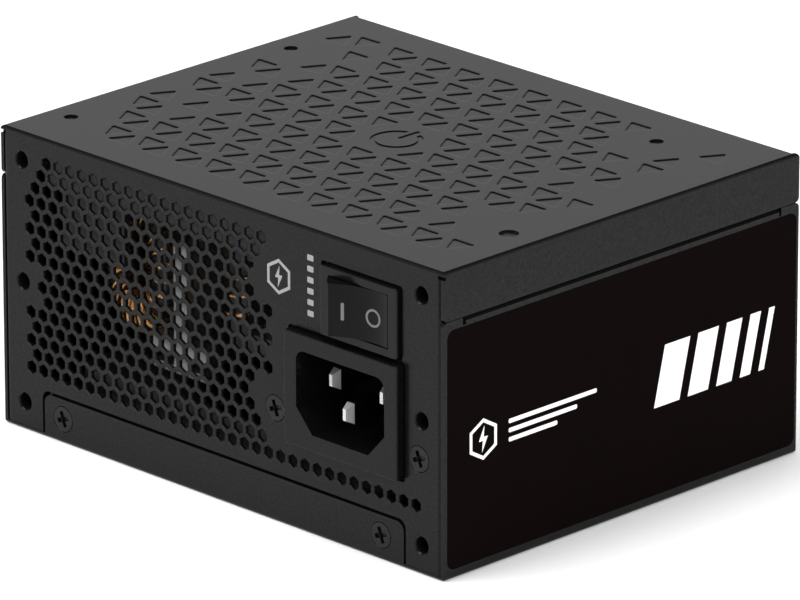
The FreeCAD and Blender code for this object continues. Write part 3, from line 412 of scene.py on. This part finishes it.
def plate(name, outlines, plane, low, high, material):
    """Flat piece: closed outlines in mm (inner ones are holes), standing from low to high off the plane."""
    curve = bpy.data.curves.new(name, "CURVE")
    curve.dimensions = "2D"
    curve.fill_mode = "BOTH"
    curve.extrude = (high - low) / 2 * MM
    for outline in outlines:
        spline = curve.splines.new("POLY")
        spline.points.add(len(outline) - 1)
        spline.use_cyclic_u = True
        for point, (x, y) in zip(spline.points, outline):
            point.co = (x * MM, y * MM, 0, 1)
    drawn = bpy.data.objects.new(name + "_outline", curve)
    bpy.context.scene.collection.objects.link(drawn)
    bpy.context.view_layer.update()
    mesh = bpy.data.meshes.new_from_object(drawn.evaluated_get(bpy.context.evaluated_depsgraph_get()))
    bpy.data.objects.remove(drawn)
    mesh.transform(plane @ Matrix.Translation((0, 0, (low + high) / 2 * MM)))
    mesh.name = name
    mesh.materials.clear()
    mesh.materials.append(material)
    piece = bpy.data.objects.new(name, mesh)
    bpy.context.scene.collection.objects.link(piece)
    return piece


def circle(x, y, radius, steps=48, turn=0.0):
    return [(x + radius * math.cos(turn + 2 * math.pi * i / steps),
             y + radius * math.sin(turn + 2 * math.pi * i / steps)) for i in range(steps)]


def rounded_rectangle(x0, x1, y0, y1, radius, steps=6):
    points = []
    for cx, cy, start in ((x1 - radius, y1 - radius, 0), (x0 + radius, y1 - radius, 90),
                          (x0 + radius, y0 + radius, 180), (x1 - radius, y0 + radius, 270)):
        for i in range(steps + 1):
            angle = math.radians(start + 90 * i / steps)
            points.append((cx + radius * math.cos(angle), cy + radius * math.sin(angle)))
    return points


def slanted_bar(x, y0, y1, wide, lean):
    return [(x, y0), (x + wide, y0), (x + wide + lean, y1), (x + lean, y1)]


def bolt(x, y, size):
    """Plain lightning bolt about (x, y)."""
    drawn = [(0.10, 1.0), (-0.45, -0.12), (-0.05, -0.12), (-0.12, -1.0), (0.45, 0.16), (0.05, 0.16)]
    return [(x + size * u, y + size * v) for u, v in drawn]


def emblem(x, y, outer, inner, bolt_size):
    """Hexagonal rim round a bolt."""
    return [circle(x, y, outer, 6, math.pi / 2), circle(x, y, inner, 6, math.pi / 2), bolt(x, y, bolt_size)]


def wire_piece(name, points, radius, material):
    """Round wire through the points, given in metres."""
    curve = bpy.data.curves.new(name, "CURVE")
    curve.dimensions = "3D"
    curve.bevel_depth = radius
    curve.bevel_resolution = 3
    curve.use_fill_caps = True
    spline = curve.splines.new("POLY")
    spline.points.add(len(points) - 1)
    for point, place in zip(spline.points, points):
        point.co = (*place, 1)
    curve.materials.append(material)
    piece = bpy.data.objects.new(name, curve)
    bpy.context.scene.collection.objects.link(piece)
    return piece


LOOP_POWER = 0.55     # 1 gives an ellipse, 0 a rectangle


def rounded_loop(angle, half_a, half_b):
    """Point on a loop between an ellipse and a rectangle."""
    c, s = math.cos(angle), math.sin(angle)
    return (half_a * math.copysign(abs(c) ** LOOP_POWER, c),
            half_b * math.copysign(abs(s) ** LOOP_POWER, s))


# ---------------------------------------------------------------- labels and printed marks

LABEL_CORNER = 1.8
LABEL_PRINT = 0.03     # thickness of the print on a label
REAR_PRINT = 0.02      # thickness of the print on the rear panel


def corners_mm(node):
    low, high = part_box(node)
    return [v / MM for v in low], [v / MM for v in high]


def make_right_label(m):
    low, high = corners_mm("label_right")
    face = high[0]
    film = plate("label_right_film", [rounded_rectangle(low[1], high[1], low[2], high[2], LABEL_CORNER)],
                 RIGHT_SIDE, low[0], face - LABEL_PRINT, m["label"])
    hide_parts("label_right")
    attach(film, "case")

    marks = []
    bar_left, bar_low, bar_high, lean, space = 8.6, 20.4, 33.0, 3.0, 2.4
    for wide in (7.2, 5.8, 4.4, 3.0, 1.6):
        marks.append(slanted_bar(bar_left, bar_low, bar_high, wide, lean))
        bar_left += wide + space
    marks += emblem(-39.2, 26.8, 4.3, 3.5, 2.7)
    for i, length in enumerate((24.5, 19.0, 13.5)):
        y = 28.6 - 1.9 * i
        marks.append(rounded_rectangle(-32.2, -32.2 + length, y - 0.45, y + 0.45, 0.3, 3))
    prints = plate("label_right_print", marks, RIGHT_SIDE, face - LABEL_PRINT, face, m["label_print"])
    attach(prints, "case")


def make_left_label(m):
    low, high = corners_mm("label_left")
    near, face = -high[0], -low[0]
    film = plate("label_left_film", [rounded_rectangle(-high[1], -low[1], low[2], high[2], LABEL_CORNER)],
                 LEFT_SIDE, near, face - LABEL_PRINT, m["label"])
    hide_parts("label_left")
    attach(film, "case")

    marks = []
    table_left, table_right, table_low, table_high = -40.0, 22.0, 9.0, 36.0
    rows, columns, line = 4, 6, 0.22
    for i in range(rows + 1):
        y = table_low + (table_high - table_low) * i / rows
        marks.append([(table_left, y), (table_right, y), (table_right, y + line), (table_left, y + line)])
    for i in range(columns + 1):
        x = table_left + (table_right - table_left) * i / columns
        for j in range(rows):
            y = table_low + (table_high - table_low) * j / rows
            top = y + (table_high - table_low) / rows - 0.1
            marks.append([(x, y + line + 0.1), (x + line, y + line + 0.1), (x + line, top), (x, top)])
    for i, length in enumerate((46, 38)):
        y = 44.0 - 3.2 * i
        marks.append(rounded_rectangle(table_left, table_left + length, y - 0.5, y + 0.5, 0.4, 3))
    marks += emblem(34.5, 30, 6.0, 5.0, 3.8)
    prints = plate("label_left_print", marks, LEFT_SIDE, face - LABEL_PRINT, face, m["label_print"])
    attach(prints, "case")


def make_rear_marks(m):
    """Small emblem and a column of dashes printed between the vent and the switch."""
    panel = -corners_mm("chassis_tray")[0][1]
    marks = emblem(17.2, 51.4, 3.7, 2.95, 2.3)
    for i in range(6):
        z = 45.4 + 2.3 * i
        marks.append(rounded_rectangle(25.2, 26.9, z, z + 1.2, 0.2, 3))
    prints = plate("rear_print", marks, REAR_SIDE, panel, panel + REAR_PRINT, m["rear_print"])
    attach(prints, "case")


ROCKER_FACE_RADIUS = 17.18
ROCKER_FACE_CENTRE = 21.99       # outwards from the pivot
ROCKER_TILT = math.radians(13.5)
MARK_LIFT = 0.05                 # height of a mark above the rocker's face


def rocker_point(u, z, lift):
    """Point on the rocker's hollow face: u along it from the middle, z up, in mm from the pivot."""
    out = ROCKER_FACE_CENTRE - math.sqrt(ROCKER_FACE_RADIUS ** 2 - u ** 2) + lift
    x = u * math.cos(ROCKER_TILT) + out * math.sin(ROCKER_TILT)
    y = u * math.sin(ROCKER_TILT) - out * math.cos(ROCKER_TILT)
    return x, y, z


def strip_on_rocker(name, inner, outer, material):
    """Closed band on the rocker's face between two outlines of equal length."""
    joint = next(joint for joint in frame["joints"] if joint["name"] == "rocker_tilt")
    pivot = [v / MM for v in joint["pos_m"]]
    count = len(outer)
    points = []
    for lift in (MARK_LIFT, 0.0):
        for u, z in list(outer) + list(inner):
            x, y, up = rocker_point(u, z, lift)
            points.append(((pivot[0] + x) * MM, (pivot[1] + y) * MM, (pivot[2] + up) * MM))
    faces = []
    for i in range(count):
        j = (i + 1) % count
        faces.append((i, j, count + j, count + i))
        faces.append((2 * count + j, 2 * count + i, 3 * count + i, 3 * count + j))
        faces.append((j, i, 2 * count + i, 2 * count + j))
        faces.append((count + i, count + j, 3 * count + j, 3 * count + i))
    mesh = bpy.data.meshes.new(name)
    mesh.from_pydata(points, [], faces)
    mesh.materials.append(material)
    piece = bpy.data.objects.new(name, mesh)
    bpy.context.scene.collection.objects.link(piece)
    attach(piece, "rocker")


def make_rocker_marks(m):
    ring_x, ring_z, ring_inner, ring_outer = 2.9, -0.3, 1.4, 1.87
    strip_on_rocker("off_mark", circle(ring_x, ring_z, ring_inner), circle(ring_x, ring_z, ring_outer),
                    m["rocker_print"])
    bar_x, bar_z, half_wide, half_high = -4.0, -0.15, 0.32, 1.8
    outer = rounded_rectangle(bar_x - half_wide, bar_x + half_wide, bar_z - half_high, bar_z + half_high,
                              0.15, 3)
    closing = 0.02     # the bar's inner outline shrinks nearly to a point
    inner = [(bar_x + (x - bar_x) * closing, bar_z + (z - bar_z) * closing) for x, z in outer]
    strip_on_rocker("on_mark", inner, outer, m["rocker_print"])


# ---------------------------------------------------------------- windings

CHOKE_CENTRE = Vector((-34.6, -35.9, 39.0)) * MM
CHOKE_TURN = math.radians(-17)


def make_toroid_winding(m):
    """One copper wire wound round the upright toroid, with a gap at the top for its leads."""
    wire = 0.62 * MM
    outer, inner, half_y = 15.6 * MM - wire, 6.6 * MM + wire, 5.0 * MM - wire
    radial, mean = (outer - inner) / 2, (outer + inner) / 2
    turns, steps = 26, 28
    gap = math.radians(24)
    turn = Matrix.Rotation(CHOKE_TURN, 3, "Z")
    points = []
    total = turns * steps
    for i in range(total + 1):
        along = gap / 2 + (2 * math.pi - gap) * i / total + math.pi / 2
        a, b = rounded_loop(2 * math.pi * i / steps, radial, half_y)
        reach = mean + a
        points.append(CHOKE_CENTRE + turn @ Vector((reach * math.cos(along), b, reach * math.sin(along))))
    winding = wire_piece("pfc_choke_turns", points, wire, m["copper"])
    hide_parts("pfc_choke_winding")
    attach(winding, "case")


def make_level_coils(m):
    """Spaced level turns round the two sides of the common-mode choke."""
    low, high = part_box("cm_choke_windings")
    wire = 0.5 * MM
    spread = 7.15 * MM     # from the choke's middle to each coil's
    half_x = 4.2 * MM - wire
    half_y = (high.y - low.y) / 2 - wire
    middle_x, middle_y = (low.x + high.x) / 2, (low.y + high.y) / 2
    turns, steps = 3.5, 32
    total = int(turns * steps)
    for side, name in ((-1, "cm_choke_turns_left"), (1, "cm_choke_turns_right")):
        centre_x = middle_x + side * spread
        points = []
        for i in range(total + 1):
            a, b = rounded_loop(2 * math.pi * i / steps, half_x, half_y)
            z = low.z + wire + (high.z - low.z - 2 * wire) * i / total
            points.append((centre_x + a, middle_y + b, z))
        coil = wire_piece(name, points, wire, m["copper"])
        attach(coil, "case")
        if side < 0:
            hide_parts("cm_choke_windings")


# ---------------------------------------------------------------- make everything

make_camera()
make_studio()
make_floor()
materials = make_materials()
dress_nodes(materials)
make_right_label(materials)
make_left_label(materials)
make_rear_marks(materials)
make_rocker_marks(materials)
make_toroid_winding(materials)
make_level_coils(materials)
